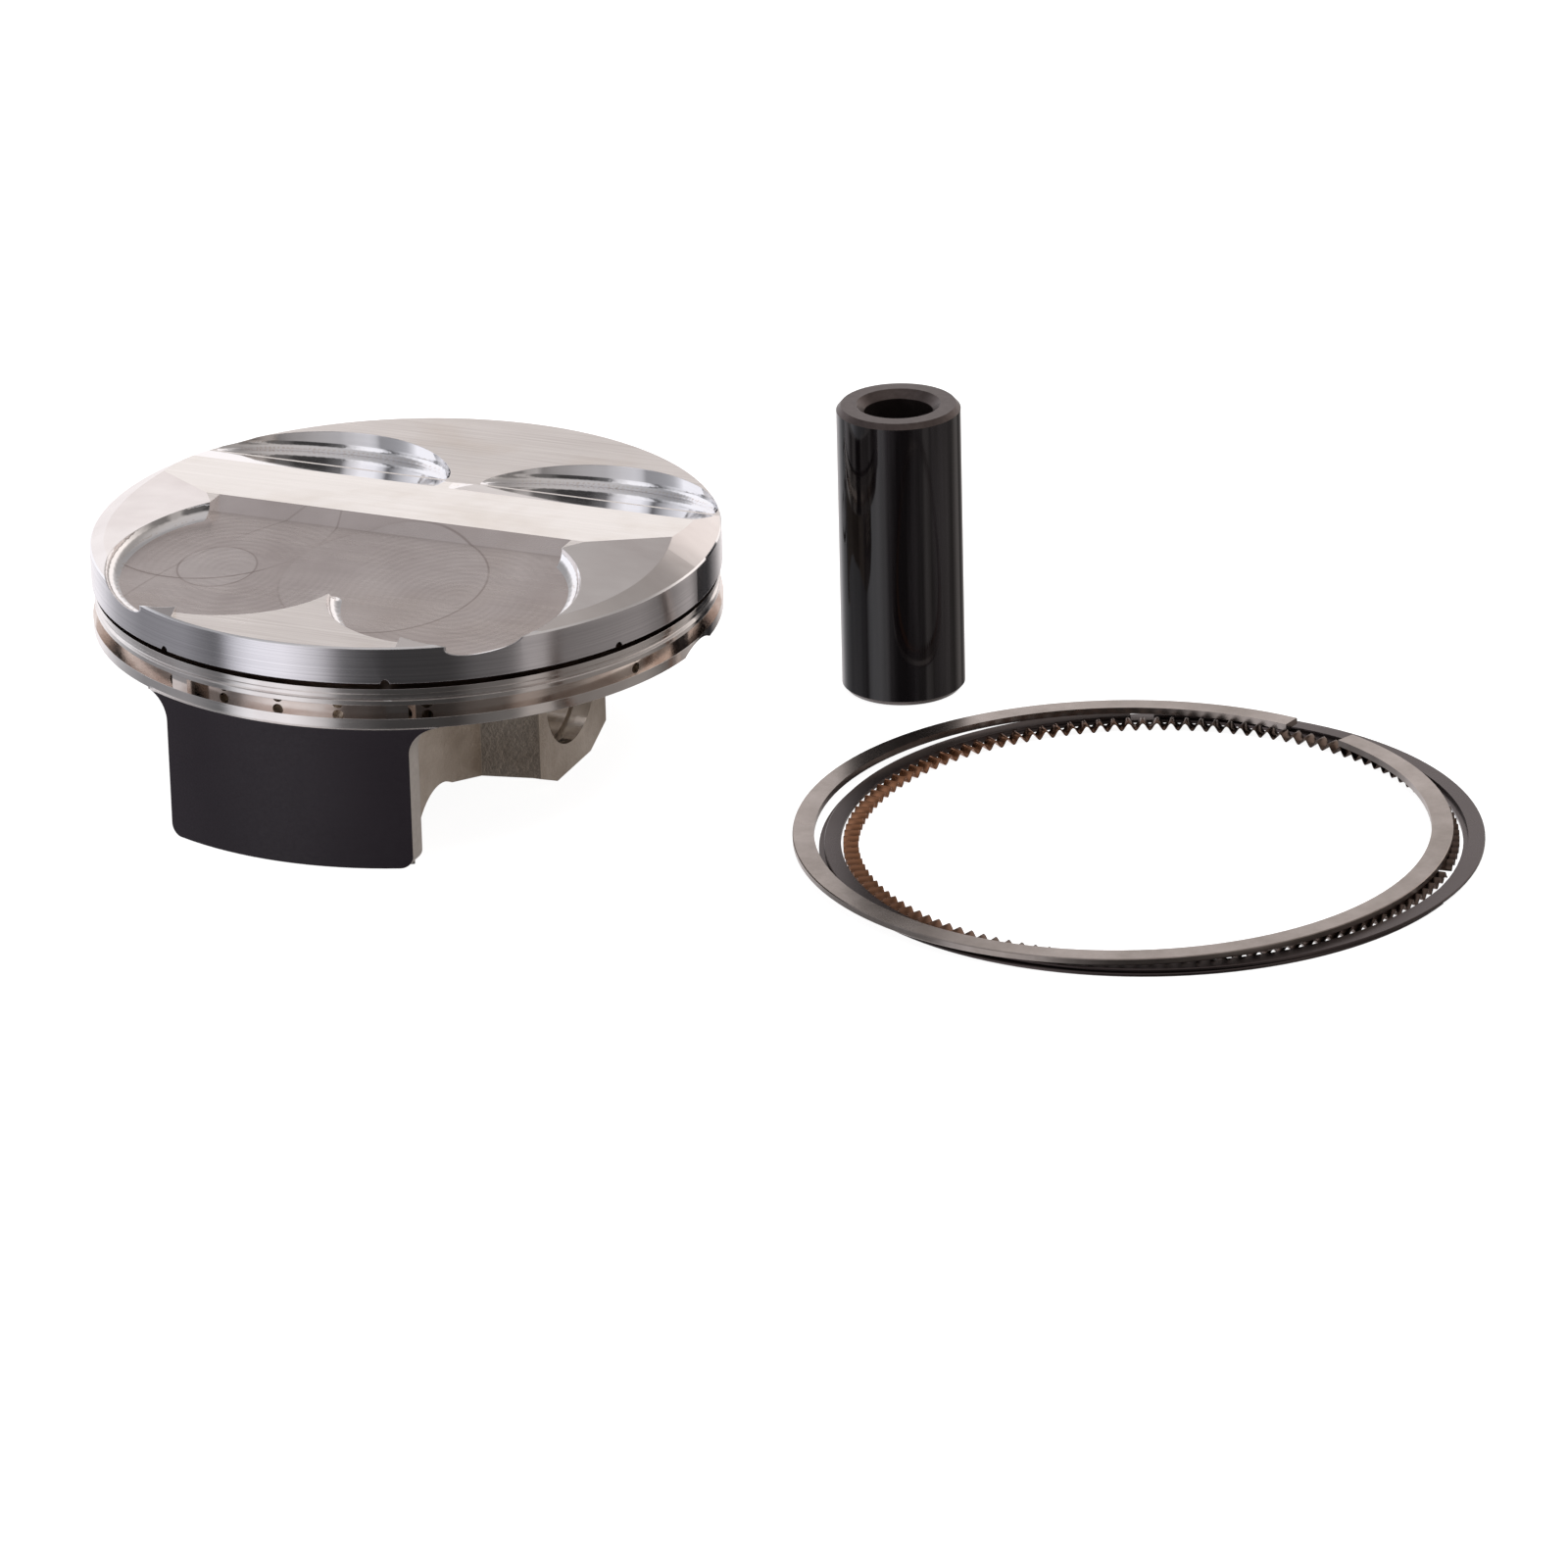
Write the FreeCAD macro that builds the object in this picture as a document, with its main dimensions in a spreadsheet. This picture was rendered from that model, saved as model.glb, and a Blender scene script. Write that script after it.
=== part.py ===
import FreeCAD, Part
import math
import os
import Sketcher

# A forged four-stroke motorcycle piston kit laid out on a flat surface: the piston standing on its
# skirts, the wrist pin standing beside it, the ring pack lying flat and two round-wire circlips.
# Origin: centre of the pin bore.  +X: pin axis.  +Z: towards the crown.  -Y: exhaust side.

doc = FreeCAD.newDocument("PistonKit")

# ---------------------------------------------------------------- driving sizes (mm and degrees)
SIZES = [
    # piston, turned sizes
    ("land_radius", 47.6), ("skirt_radius", 47.95), ("skirt_wall", 3.0),
    ("deck_height", 21.15), ("roof_height", 24.6), ("cone_top_radius", 41.1), ("rim_chamfer", 0.25),
    ("belt_base", 8.3), ("top_groove_low", 14.5), ("top_groove_high", 15.5), ("top_groove_root", 43.9),
    ("oil_groove_low", 9.9), ("oil_groove_high", 11.9), ("oil_groove_root", 44.1),
    ("second_land_step", 0.35), ("gutter_low", 12.6), ("gutter_high", 13.7), ("gutter_depth", 0.4),
    ("cavity_radius", 40.3), ("cavity_step_radius", 36.5), ("cavity_step", 10.6), ("undercrown", 13.2),
    # piston, skirts and side panels
    ("skirt_base", -13.8), ("skirt_half_width", 19.7), ("skirt_corner", 1.8), ("skirt_flare", 4.0),
    ("panel_outer", 19.2), ("panel_wall", 3.0), ("panel_reach", 46.4),
    ("arch_radius", 9.0), ("arch_centre", 33.0), ("arch_low_end", 13.0), ("arch_low_drop", 10.8),
    # piston, pin bosses
    ("boss_radius", 13.7), ("boss_outer", 26.5), ("boss_inner", 12.0), ("boss_half_width", 12.3),
    ("ramp_half_width", 17.5), ("pin_bore_radius", 9.52), ("clip_groove_radius", 10.25),
    ("clip_groove_start", 23.1), ("clip_groove_width", 1.6), ("pick_notch_radius", 2.0),
    ("relief_radius", 9.7), ("relief_drop", 0.2), ("relief_start", 40.0),
    # piston, crown
    ("ridge_y", -3.9), ("bevel_run", 2.5), ("bevel_drop", 1.8), ("front_slope", 7.8),
    ("strip_end_y", 16.0), ("strip_end_height", 22.95), ("back_deck_y", 20.6),
    ("exhaust_x", 18.2), ("exhaust_y", -22.9), ("exhaust_radius", 18.9),
    ("floor_half_width", 29.0), ("island_tip_y", -26.8),
    ("intake_x", 22.2), ("intake_y", 13.2), ("intake_radius", 21.8), ("intake_slope", 14.4),
    ("intake_start_y", 13.0), ("intake_start_height", 23.2), ("intake_fillet", 1.1),
    ("exhaust_fillet", 2.0), ("flank_tilt", 7.9), ("flank_heading", -34.7), ("flank_start_x", 31.0),
    ("flank_start_y", -4.2),
    # gas ports and oil drains
    ("gas_port_radius", 0.65), ("oil_drain_radius", 0.85),
    # wrist pin
    ("pin_radius", 9.5), ("pin_length", 46.0), ("pin_hole_radius", 5.25), ("pin_chamfer", 0.7),
    ("pin_chamfer_height", 0.8), ("pin_hole_chamfer", 1.2), ("pin_x", 61.4), ("pin_y", 46.8),
    # ring pack, lying flat
    ("ring_radius", 48.8), ("ring_wall", 3.2), ("ring_height", 1.0), ("ring_edge", 0.12),
    ("ring_gap_angle", 12.6), ("ring_x", 114.7), ("ring_y", 0.6),
    ("rail_radius", 48.8), ("rail_wall", 2.5), ("rail_height", 0.5), ("rail_edge", 0.1),
    ("rail_gap_angle", 4.4), ("rail_x", 118.7), ("rail_y", 1.1), ("rail_shift", 0.9),
    ("expander_radius", 45.5), ("expander_width", 2.3), ("expander_height", 1.4), ("expander_strip", 0.28),
    ("expander_gap_angle", 1.5), ("expander_shift", 0.3), ("stack_clearance", 0.02),
    # circlips
    ("clip_wire_radius", 0.8), ("clip_radius", 10.2), ("clip_gap_angle", 50.0),
    ("clip_left_x", -40.0), ("clip_left_y", 58.0), ("clip_right_x", -15.0), ("clip_right_y", 62.0),
]
WAVE_COUNT = 126
RING_GAP_AT = 71.5
UPPER_RAIL_GAP_AT = 112.7
LOWER_RAIL_GAP_AT = -6.2
EXPANDER_START = 5.0
GAS_PORT_ANGLES = [20.5 + 45.0 * step for step in range(8)]
OIL_DRAIN_ANGLES = [-118.0, -103.8, -91.5, -79.2, -62.0, -15.7]
OIL_DRAIN_ANGLES = OIL_DRAIN_ANGLES + [angle + 180.0 for angle in OIL_DRAIN_ANGLES]
REACH = 60.0

sheet = doc.addObject("Spreadsheet::Sheet", "Sizes")
for row, (alias, value) in enumerate(SIZES, start=1):
    sheet.set("A%d" % row, alias)
    sheet.set("B%d" % row, str(value))
    sheet.setAlias("B%d" % row, alias)
doc.recompute()


def size(alias):
    return float(getattr(sheet, alias))


def expression(text):
    """Write every size alias in a formula as a cell of the sheet."""
    names = sorted((alias for alias, _ in SIZES), key=len, reverse=True)
    out = []
    word = ""
    for letter in text + " ":
        if letter.isalnum() or letter == "_":
            word += letter
            continue
        out.append("Sizes." + word if word in names else word)
        out.append(letter)
        word = ""
    return "".join(out).strip()


def bind(item, **formulas):
    for name, text in formulas.items():
        item.setExpression(name.replace("__", "."), expression(text))


def place(item, x, y, z):
    bind(item, Placement__Base__x=x, Placement__Base__y=y, Placement__Base__z=z)


def block(name, length, width, height, x, y, z):
    item = doc.addObject("Part::Box", name)
    bind(item, Length=length, Width=width, Height=height)
    place(item, x, y, z)
    return item


def rod(name, radius, height, axis, x, y, z):
    item = doc.addObject("Part::Cylinder", name)
    turn = {"X": FreeCAD.Rotation(FreeCAD.Vector(0, 1, 0), 90),
            "Y": FreeCAD.Rotation(FreeCAD.Vector(1, 0, 0), -90),
            "Z": FreeCAD.Rotation()}[axis]
    item.Placement = FreeCAD.Placement(FreeCAD.Vector(), turn)
    bind(item, Radius=radius, Height=height)
    place(item, x, y, z)
    return item


def fuse(name, items):
    item = doc.addObject("Part::MultiFuse", name)
    item.Shapes = items
    return item


def common(name, items):
    item = doc.addObject("Part::MultiCommon", name)
    item.Shapes = items
    return item


def cut(name, base, tool):
    item = doc.addObject("Part::Cut", name)
    item.Base = base
    item.Tool = tool
    return item


def round_floor(name, cutter, radius, steepest):
    """Round the edges where a pocket cutter's sloping floor meets its upright walls."""
    doc.recompute()
    picked = []
    for index, edge in enumerate(cutter.Shape.Edges, start=1):
        faces = cutter.Shape.ancestorsOfType(edge, Part.Face)
        kinds = sorted(face.Surface.TypeId for face in faces)
        if kinds != ["Part::GeomCylinder", "Part::GeomPlane"]:
            continue
        flat = [face for face in faces if face.Surface.TypeId == "Part::GeomPlane"][0]
        tilt = abs(flat.normalAt(0, 0).z)
        if steepest < tilt < 0.9999:
            picked.append((index, radius, radius))
    item = doc.addObject("Part::Fillet", name)
    item.Base = cutter
    item.Edges = picked
    return item


def plane_of(body, role):
    for feature in body.Origin.OriginFeatures:
        if feature.Role == role:
            return feature
    raise RuntimeError("no plane " + role)


def outline(body, name, role, corners):
    """A closed sketch of straight edges whose every corner is driven by formulas of the sheet."""
    sketch = body.newObject("Sketcher::SketchObject", name)
    sketch.AttachmentSupport = (plane_of(body, role), [""])
    sketch.MapMode = "FlatFace"
    spots = []
    for across, up in corners:
        values = []
        for text in (across, up):
            known = {alias: size(alias) for alias, _ in SIZES}
            values.append(evaluate(text, known))
        spots.append(FreeCAD.Vector(values[0], values[1], 0))
    count = len(spots)
    for index in range(count):
        sketch.addGeometry(Part.LineSegment(spots[index], spots[(index + 1) % count]), False)
    for index in range(count):
        sketch.addConstraint(Sketcher.Constraint("Coincident", index, 2, (index + 1) % count, 1))
    for index, (across, up) in enumerate(corners):
        spot = spots[index]
        for kind, value, text in (("DistanceX", spot.x, across), ("DistanceY", spot.y, up)):
            number = sketch.addConstraint(Sketcher.Constraint(kind, -1, 1, index, 1, value))
            sketch.setExpression("Constraints[%d]" % number, expression(text))
    return sketch


def evaluate(text, known):
    """Value of a sum of aliases and numbers such as 'panel_outer - 2*skirt_corner'."""
    total = 0.0
    for part in text.replace("-", "+-").split("+"):
        part = part.strip()
        if not part:
            continue
        product = 1.0
        if part.startswith("-"):
            product = -1.0
            part = part[1:].strip()
        for factor in part.split("*"):
            factor = factor.strip()
            product *= known[factor] if factor in known else float(factor)
        total += product
    return total


def revolved(name, corners, angle="360"):
    """A body turned about Z from a half section drawn in the XZ plane."""
    body = doc.addObject("PartDesign::Body", name)
    sketch = outline(body, name + "_section", "XZ_Plane", corners)
    turned = body.newObject("PartDesign::Revolution", name + "_turned")
    turned.Profile = (sketch, [""])
    turned.ReferenceAxis = (sketch, ["V_Axis"])
    turned.setExpression("Angle", expression(angle))
    body.Tip = turned
    return body


def prism(name, role, corners, length, both_ways):
    """A body pushed straight out of an origin plane."""
    body = doc.addObject("PartDesign::Body", name)
    sketch = outline(body, name + "_section", role, corners)
    pad = body.newObject("PartDesign::Pad", name + "_pad")
    pad.Profile = (sketch, [""])
    pad.setExpression("Length", expression(length))
    pad.Midplane = both_ways
    body.Tip = pad
    return body


# ---------------------------------------------------------------- piston: turned blank
blank = revolved("belt_blank", [
    ("0", "undercrown"), ("cavity_step_radius", "undercrown"), ("cavity_radius", "cavity_step"),
    ("cavity_radius", "belt_base"), ("land_radius", "belt_base"), ("land_radius", "oil_groove_low"),
    ("oil_groove_root", "oil_groove_low"), ("oil_groove_root", "oil_groove_high"),
    ("land_radius - second_land_step", "oil_groove_high"),
    ("land_radius - second_land_step", "gutter_low"),
    ("land_radius - second_land_step - gutter_depth", "gutter_low + 0.3"),
    ("land_radius - second_land_step - gutter_depth", "gutter_high - 0.3"),
    ("land_radius - second_land_step", "gutter_high"),
    ("land_radius - second_land_step", "top_groove_low"),
    ("top_groove_root", "top_groove_low"), ("top_groove_root", "top_groove_high"),
    ("land_radius", "top_groove_high"), ("land_radius", "deck_height - rim_chamfer"),
    ("land_radius - rim_chamfer", "deck_height"), ("cone_top_radius", "roof_height"),
    ("0", "roof_height"),
])

# ---------------------------------------------------------------- piston: skirts
skirt_tube = cut("skirt_tube",
                 rod("skirt_outer", "skirt_radius", "belt_base - skirt_base + 1.2", "Z", "0", "0", "skirt_base"),
                 rod("skirt_inner", "skirt_radius - skirt_wall", "belt_base - skirt_base + 3", "Z",
                     "0", "0", "skirt_base - 1"))
skirt_plate = block("skirt_plate", "2*skirt_half_width", "2*%g" % REACH, "belt_base - skirt_base",
                    "-skirt_half_width", "-%g" % REACH, "skirt_base")
flare_plate = block("flare_plate", "2*skirt_half_width + 2*skirt_flare", "2*%g" % REACH, "skirt_flare",
                    "-skirt_half_width - skirt_flare", "-%g" % REACH, "belt_base - skirt_flare")
corner_cutters = []
flare_cutters = []
for side, sign in (("left", "-"), ("right", "")):
    edge = "%sskirt_half_width" % sign
    inward = "" if sign == "-" else "-"
    square = block("corner_block_" + side, "skirt_corner", "2*%g" % REACH, "skirt_corner",
                   edge if sign == "-" else edge + " - skirt_corner", "-%g" % REACH, "skirt_base")
    round_ = rod("corner_rod_" + side, "skirt_corner", "2*%g" % REACH, "Y",
                 edge + (" + skirt_corner" if sign == "-" else " - skirt_corner"),
                 "-%g" % REACH, "skirt_base + skirt_corner")
    corner_cutters.append(cut("corner_cutter_" + side, square, round_))
    flare_cutters.append(rod("flare_cutter_" + side, "skirt_flare", "2*%g" % REACH, "Y",
                             edge + (" - skirt_flare" if sign == "-" else " + skirt_flare"),
                             "-%g" % REACH, "belt_base - skirt_flare"))
skirt_front_view = cut("skirt_front_view", fuse("skirt_plates", [skirt_plate, flare_plate]),
                       fuse("skirt_cutters", corner_cutters + flare_cutters))
skirts = common("skirts", [skirt_tube, skirt_front_view])

# ---------------------------------------------------------------- piston: side panels and pin bosses
side_view = block("side_blank", "2*boss_outer", "2*panel_reach", "undercrown + 1 - skirt_base",
                  "-boss_outer", "-panel_reach", "skirt_base")
arch_cutters = []
for side, sign in (("front", -1), ("back", 1)):
    mark = "-" if sign < 0 else ""
    arch_cutters.append(rod("arch_" + side, "arch_radius", "2*%g" % REACH, "X", "-%g" % REACH,
                            mark + "arch_centre", "skirt_base - 0.1"))
    arch_cutters.append(prism("arch_slope_" + side, "YZ_Plane", [
        (mark + "arch_centre", "skirt_base - 1"), (mark + "arch_centre", "skirt_base - 0.1 + arch_radius"),
        (mark + "arch_low_end", "-arch_low_drop"), (mark + "4", "skirt_base - 1")],
        "2*%g" % REACH, True))
    arch_cutters.append(block("arch_leg_" + side, "2*%g" % REACH, "2*arch_radius", "3.1",
                              "-%g" % REACH, mark + "arch_centre - arch_radius", "skirt_base - 2"))
side_view = cut("side_view_arched", side_view, fuse("arch_cutters", arch_cutters))
side_view = fuse("side_view", [side_view, rod("boss_round", "boss_radius", "2*boss_outer", "X",
                                              "-boss_outer", "0", "0")])
plan_parts = []
for side, sign in (("left", -1), ("right", 1)):
    mark = "-" if sign < 0 else ""
    near = "-panel_outer" if sign < 0 else "panel_outer - panel_wall"
    plan_parts.append(block("panel_plan_" + side, "panel_wall", "2*%g" % REACH, "3*boss_radius",
                            near, "-%g" % REACH, "-1.5*boss_radius"))
    plan_parts.append(prism("boss_plan_" + side, "XY_Plane", [
        (mark + "boss_inner", "-boss_half_width + 1.8"),
        (mark + "panel_outer + %s" % ("panel_wall" if sign < 0 else "-1*panel_wall"), "-boss_half_width - 2.8"),
        (mark + "panel_outer", "-ramp_half_width"), (mark + "boss_outer", "-boss_half_width"),
        (mark + "boss_outer", "boss_half_width"), (mark + "panel_outer", "ramp_half_width"),
        (mark + "panel_outer + %s" % ("panel_wall" if sign < 0 else "-1*panel_wall"), "boss_half_width + 2.8"),
        (mark + "boss_inner", "boss_half_width - 1.8")], "3*boss_radius", True))
plan_view = fuse("plan_view", plan_parts)
trim = rod("panel_trim", "panel_reach", "3*boss_radius", "Z", "0", "0", "-1.5*boss_radius")
bosses = common("panels_and_bosses", [side_view, plan_view, trim])

# ---------------------------------------------------------------- piston: crown pockets
above_roof = prism("above_roof", "YZ_Plane", [
    ("ridge_y", "roof_height"), ("strip_end_y", "strip_end_height"), ("back_deck_y", "deck_height"),
    ("%g" % REACH, "deck_height"), ("%g" % REACH, "roof_height + 9"), ("ridge_y", "roof_height + 9")],
    "2*%g" % REACH, True)
island_cut = block("above_island", "2*exhaust_x", "%g" % REACH, "9",
                   "-exhaust_x", "exhaust_y + 3 - %g" % REACH, "deck_height")
exhaust_plan = fuse("exhaust_plan", [
    rod("exhaust_left", "exhaust_radius", "30", "Z", "-exhaust_x", "exhaust_y", "12"),
    rod("exhaust_right", "exhaust_radius", "30", "Z", "exhaust_x", "exhaust_y", "12"),
    block("exhaust_middle", "2*floor_half_width", "ridge_y - island_tip_y", "30",
          "-floor_half_width", "island_tip_y", "12")])
front_fall = math.tan(math.radians(size("front_slope"))) * (REACH + size("ridge_y") - size("bevel_run"))
above_floor = prism("above_exhaust_floor", "YZ_Plane", [
    ("ridge_y", "roof_height"), ("ridge_y - bevel_run", "roof_height - bevel_drop"),
    ("-%g" % REACH, "roof_height - bevel_drop - %.4f" % front_fall),
    ("-%g" % REACH, "roof_height + 9"), ("ridge_y", "roof_height + 9")], "2*%g" % REACH, True)
exhaust_cut = round_floor("exhaust_pockets", common("exhaust_square", [exhaust_plan, above_floor]),
                          size("exhaust_fillet"), 0.9)
intake_plan = fuse("intake_plan", [
    rod("intake_left", "intake_radius", "30", "Z", "-intake_x", "intake_y", "12"),
    rod("intake_right", "intake_radius", "30", "Z", "intake_x", "intake_y", "12")])
back_fall = math.tan(math.radians(size("intake_slope")))
above_intake = prism("above_intake_floor", "YZ_Plane", [
    ("intake_start_y - 9", "intake_start_height + %.4f" % (9 * back_fall)),
    ("%g" % REACH, "intake_start_height - %.4f" % ((REACH - size("intake_start_y")) * back_fall)),
    ("%g" % REACH, "roof_height + 9"), ("intake_start_y - 9", "roof_height + 9")], "2*%g" % REACH, True)
intake_cut = round_floor("intake_pockets", common("intake_square", [intake_plan, above_intake]),
                         size("intake_fillet"), 0.9)

# ---------------------------------------------------------------- piston: bores and small holes
holes = [rod("pin_bore_tool", "pin_bore_radius", "2*relief_start", "X", "-relief_start", "0", "0"),
         rod("relief_left", "relief_radius", "%g" % REACH, "X", "-relief_start - %g" % REACH, "0", "-relief_drop"),
         rod("relief_right", "relief_radius", "%g" % REACH, "X", "relief_start", "0", "-relief_drop")]
for side, start in (("left", "-clip_groove_start - clip_groove_width"), ("right", "clip_groove_start")):
    holes.append(rod("clip_groove_" + side, "clip_groove_radius", "clip_groove_width", "X", start, "0", "0"))
    notch_start = "-boss_outer - 1" if side == "left" else "clip_groove_start"
    holes.append(rod("pick_notch_" + side, "pick_notch_radius", "boss_outer + 1 - clip_groove_start", "X",
                     notch_start, "6.8", "6.8"))


def radial_holes(label, angles, radius, inner, height):
    made = []
    for index, angle in enumerate(angles):
        item = rod("%s_%d" % (label, index + 1), radius, "8", "X", "0", "0", height)
        spin = FreeCAD.Rotation(FreeCAD.Vector(0, 0, 1), angle) * FreeCAD.Rotation(FreeCAD.Vector(0, 1, 0), 90)
        way = FreeCAD.Vector(math.cos(math.radians(angle)), math.sin(math.radians(angle)), 0)
        item.Placement = FreeCAD.Placement(FreeCAD.Vector(), spin)
        place(item, "%s*%.6f" % (inner, way.x), "%s*%.6f" % (inner, way.y), height)
        made.append(item)
    return made


holes += radial_holes("gas_port", GAS_PORT_ANGLES, "gas_port_radius", "top_groove_root", "top_groove_high")
holes += radial_holes("oil_drain", OIL_DRAIN_ANGLES, "oil_drain_radius", "(cavity_radius - 2)",
                      "(oil_groove_low + oil_groove_high)/2")

# ---------------------------------------------------------------- piston: sloping flanks of the crown
flank_cutters = []
for side, sign in (("left", -1), ("right", 1)):
    heading = math.radians(size("flank_heading"))
    downhill = FreeCAD.Vector(sign * math.cos(heading), math.sin(heading), 0)
    lean = FreeCAD.Rotation(FreeCAD.Vector(-downhill.y, downhill.x, 0), size("flank_tilt"))
    slab = block("above_flank_" + side, "2*%g" % REACH, "2*%g" % REACH, "20", "0", "0", "0")
    corner = lean.multVec(FreeCAD.Vector(-REACH, -REACH, 0))
    slab.Placement = FreeCAD.Placement(FreeCAD.Vector(), lean)
    mark = "-" if sign < 0 else ""
    place(slab, mark + "flank_start_x + %.6f" % corner.x, "flank_start_y + %.6f" % corner.y,
          "roof_height + %.6f" % corner.z)
    flank_cutters.append(slab)

piston = fuse("piston_solid", [blank, skirts, bosses])
piston = cut("piston_crowned", piston, fuse("crown_cutters", [above_roof, island_cut, exhaust_cut, intake_cut] + flank_cutters))
piston = cut("piston_body", piston, fuse("hole_cutters", holes))

# ---------------------------------------------------------------- wrist pin
pin = revolved("wrist_pin", [
    ("pin_hole_radius", "pin_hole_chamfer"), ("pin_hole_radius + pin_hole_chamfer", "0"),
    ("pin_radius - pin_chamfer", "0"), ("pin_radius", "pin_chamfer_height"),
    ("pin_radius", "pin_length - pin_chamfer_height"), ("pin_radius - pin_chamfer", "pin_length"),
    ("pin_hole_radius + pin_hole_chamfer", "pin_length"),
    ("pin_hole_radius", "pin_length - pin_hole_chamfer")])
place(pin, "pin_x", "pin_y", "skirt_base")


# ---------------------------------------------------------------- rings
def flat_ring(name, radius, wall, height, edge, gap, gap_at, x, y, z):
    body = revolved(name, [
        ("%s - %s" % (radius, wall), "0"), ("%s - %s" % (radius, edge), "0"), (radius, edge),
        (radius, "%s - %s" % (height, edge)), ("%s - %s" % (radius, edge), height),
        ("%s - %s" % (radius, wall), height)], "360 - " + gap)
    spin = FreeCAD.Rotation(FreeCAD.Vector(0, 0, 1), gap_at + 0.5 * size(gap))
    body.Placement = FreeCAD.Placement(FreeCAD.Vector(), spin)
    place(body, x, y, z)
    return body


LOWER_RAIL_Z = "skirt_base"
UPPER_RAIL_Z = LOWER_RAIL_Z + " + rail_height + stack_clearance"
EXPANDER_Z = "skirt_base"
RING_Z = EXPANDER_Z + " + expander_height + stack_clearance"
lower_rail = flat_ring("oil_rail_lower", "rail_radius", "rail_wall", "rail_height", "rail_edge",
                       "rail_gap_angle", LOWER_RAIL_GAP_AT, "rail_x", "rail_y", LOWER_RAIL_Z)
upper_rail = flat_ring("oil_rail_upper", "rail_radius", "rail_wall", "rail_height", "rail_edge",
                       "rail_gap_angle", UPPER_RAIL_GAP_AT, "rail_x + 0.6*rail_shift",
                       "rail_y + 0.8*rail_shift", UPPER_RAIL_Z)
top_ring = flat_ring("compression_ring", "ring_radius", "ring_wall", "ring_height", "ring_edge",
                     "ring_gap_angle", RING_GAP_AT, "ring_x", "ring_y", RING_Z)


def corrugated_ribbon():
    """The oil-ring expander: a thin strip that waves up and down as it runs round, made of flat faces."""
    outer = size("expander_radius")
    inner = outer - size("expander_width")
    rise = size("expander_height") - size("expander_strip")
    strip = FreeCAD.Vector(0, 0, size("expander_strip"))
    pitch = math.radians(360.0 - size("expander_gap_angle")) / WAVE_COUNT
    lines = []
    for index in range(WAVE_COUNT):
        # two creases bound each ramp and lie parallel to its middle, so that the ramp is flat
        for middle, heights in ((0.25, (0.0, rise)), (0.75, (rise, 0.0))):
            heading = (index + middle) * pitch
            along = FreeCAD.Vector(math.cos(heading), math.sin(heading), 0)
            beside = FreeCAD.Vector(-math.sin(heading), math.cos(heading), 0)
            half = 0.11 * pitch * outer
            for sign, height in zip((-1, 1), heights):
                offset = beside * (sign * half) + FreeCAD.Vector(0, 0, height)
                lines.append((along * inner + offset, along * outer + offset))

    def side(points):
        return Part.Face(Part.makePolygon(points + points[:1]))

    faces = []
    for (a_in, a_out), (b_in, b_out) in zip(lines, lines[1:]):
        faces.append(side([a_in, a_out, b_out, b_in]))
        faces.append(side([a_in + strip, a_out + strip, b_out + strip, b_in + strip]))
        faces.append(side([a_in, b_in, b_in + strip, a_in + strip]))
        faces.append(side([a_out, b_out, b_out + strip, a_out + strip]))
    for end_in, end_out in (lines[0], lines[-1]):
        faces.append(side([end_in, end_out, end_out + strip, end_in + strip]))
    return Part.Solid(Part.Shell(faces))


expander = doc.addObject("Part::Feature", "oil_expander")
expander.Shape = corrugated_ribbon()
expander.Placement = FreeCAD.Placement(FreeCAD.Vector(), FreeCAD.Rotation(FreeCAD.Vector(0, 0, 1),
                                                                       EXPANDER_START))
place(expander, "rail_x + expander_shift", "rail_y", EXPANDER_Z)


# ---------------------------------------------------------------- circlips
def wire_clip(name, spin, x, y):
    body = doc.addObject("PartDesign::Body", name)
    sketch = body.newObject("Sketcher::SketchObject", name + "_wire")
    sketch.AttachmentSupport = (plane_of(body, "XZ_Plane"), [""])
    sketch.MapMode = "FlatFace"
    middle = size("clip_radius") - size("clip_wire_radius")
    centre = FreeCAD.Vector(middle, size("clip_wire_radius"), 0)
    sketch.addGeometry(Part.Circle(centre, FreeCAD.Vector(0, 0, 1), size("clip_wire_radius")), False)
    constraints = (("DistanceX", "clip_radius - clip_wire_radius", middle),
                   ("DistanceY", "clip_wire_radius", size("clip_wire_radius")))
    for kind, text, value in constraints:
        number = sketch.addConstraint(Sketcher.Constraint(kind, -1, 1, 0, 3, value))
        sketch.setExpression("Constraints[%d]" % number, expression(text))
    number = sketch.addConstraint(Sketcher.Constraint("Radius", 0, size("clip_wire_radius")))
    sketch.setExpression("Constraints[%d]" % number, expression("clip_wire_radius"))
    turned = body.newObject("PartDesign::Revolution", name + "_turned")
    turned.Profile = (sketch, [""])
    turned.ReferenceAxis = (sketch, ["V_Axis"])
    turned.setExpression("Angle", expression("360 - clip_gap_angle"))
    body.Tip = turned
    body.Placement = FreeCAD.Placement(FreeCAD.Vector(), FreeCAD.Rotation(FreeCAD.Vector(0, 0, 1), spin))
    place(body, x, y, "skirt_base")
    return body


clip_left = wire_clip("circlip_left", 70, "clip_left_x", "clip_left_y")
clip_right = wire_clip("circlip_right", 200, "clip_right_x", "clip_right_y")

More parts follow.
